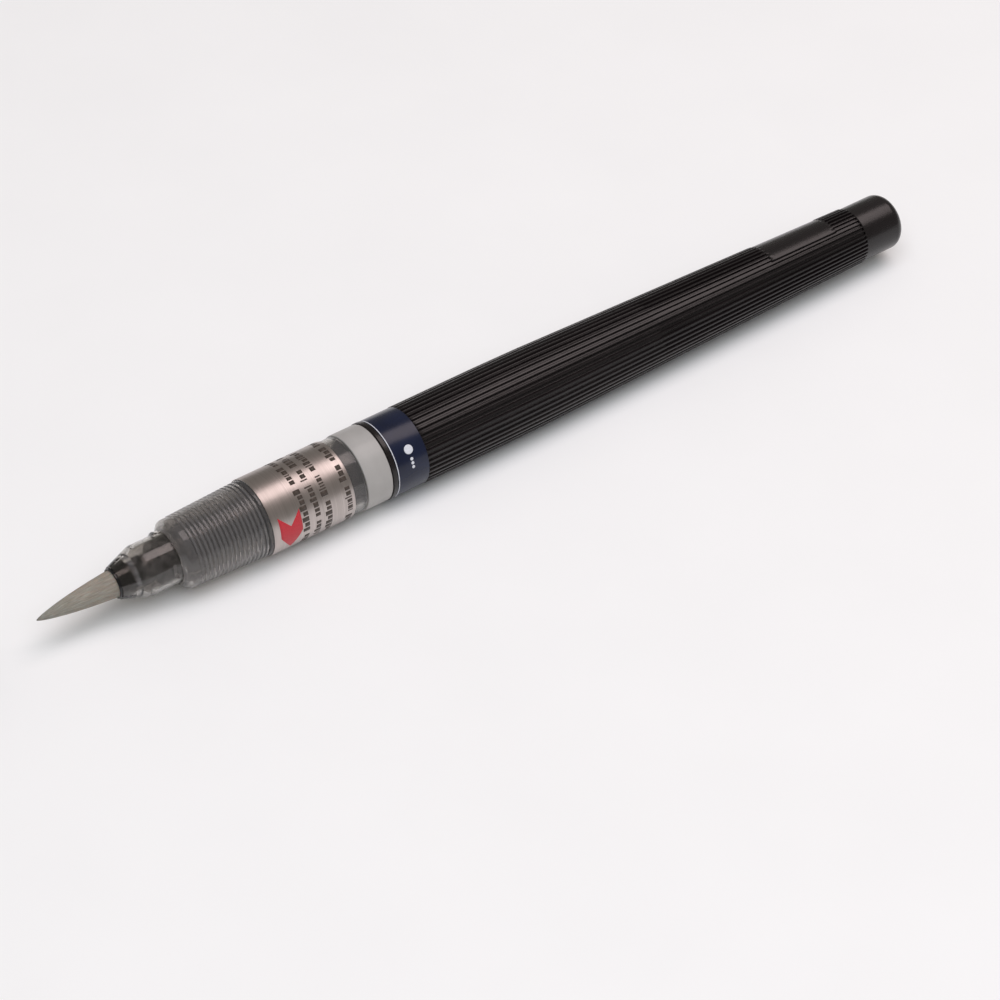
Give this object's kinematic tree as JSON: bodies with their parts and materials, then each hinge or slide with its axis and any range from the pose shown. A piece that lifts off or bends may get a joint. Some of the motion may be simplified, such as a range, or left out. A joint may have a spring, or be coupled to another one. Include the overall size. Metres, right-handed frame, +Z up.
{
  "type": "brush pen",
  "caption": "Brush pen: nylon bristles in a black collar, clear ringed grip, foil label, spacer ring and a ribbed squeeze cartridge that screws out, with a ribbed pull-off cap.",
  "frame": {"origin": "centre of the base of the whole set's box, on the table under the pen's axis, with the cap pulled off ahead of the brush", "axes": "+X along the pen from bristles to tail, +Z up, +Y across"},
  "size_m": [0.227, 0.0138, 0.0139],
  "materials": {
    "nylon_bristle": "fine filaments",
    "root_resin": "dull",
    "white_plastic": "satin",
    "black_plastic": "gloss",
    "clear_plastic": "clear gloss",
    "seal_rubber": "dull",
    "foil": "brushed",
    "barrel_plastic": "satin gloss",
    "navy_film": "gloss",
    "cap_plastic": "satin"
  },
  "bodies": {
    "front": {"bristle_bundle": "nylon_bristle", "bristle_root": "root_resin", "ink_guide": "white_plastic", "brush_collar": "black_plastic", "nose_shell": "clear_plastic", "feed_core": "black_plastic", "inner_sleeve": "clear_plastic", "flow_plug": "black_plastic", "feed_seal": "seal_rubber", "piercing_tube": "white_plastic", "grip_shell": "clear_plastic", "barrel_label": "foil"},
    "ring": {"spacer_ring": "white_plastic"},
    "cartridge": {"cartridge_neck": "black_plastic", "neck_seal": "seal_rubber", "cartridge_stopper": "root_resin", "cartridge_barrel": "barrel_plastic", "colour_band": "navy_film", "tail_plug": "barrel_plastic"},
    "cap": {"cap_shell": "cap_plastic", "cap_liner": "seal_rubber"}
  },
  "joints": [
    {"name": "cap_slide", "type": "slide", "parent": "front", "child": "cap", "axis": [1, 0, 0], "range_m": [0, 0.0389]},
    {"name": "spacer_ring_slide", "type": "slide", "parent": "front", "child": "ring", "axis": [1, 0, 0], "range_m": [0, 0.0063]},
    {"name": "cartridge_turn", "type": "hinge", "parent": "ring", "child": "cartridge", "pos_m": [0, 0, 0.00694], "axis": [1, 0, 0], "range_deg": [0, 900]}
  ],
  "couplings": [
    {"joint": "spacer_ring_slide", "follows": "cartridge_turn", "m_per_rad": 0.00039789}
  ]
}
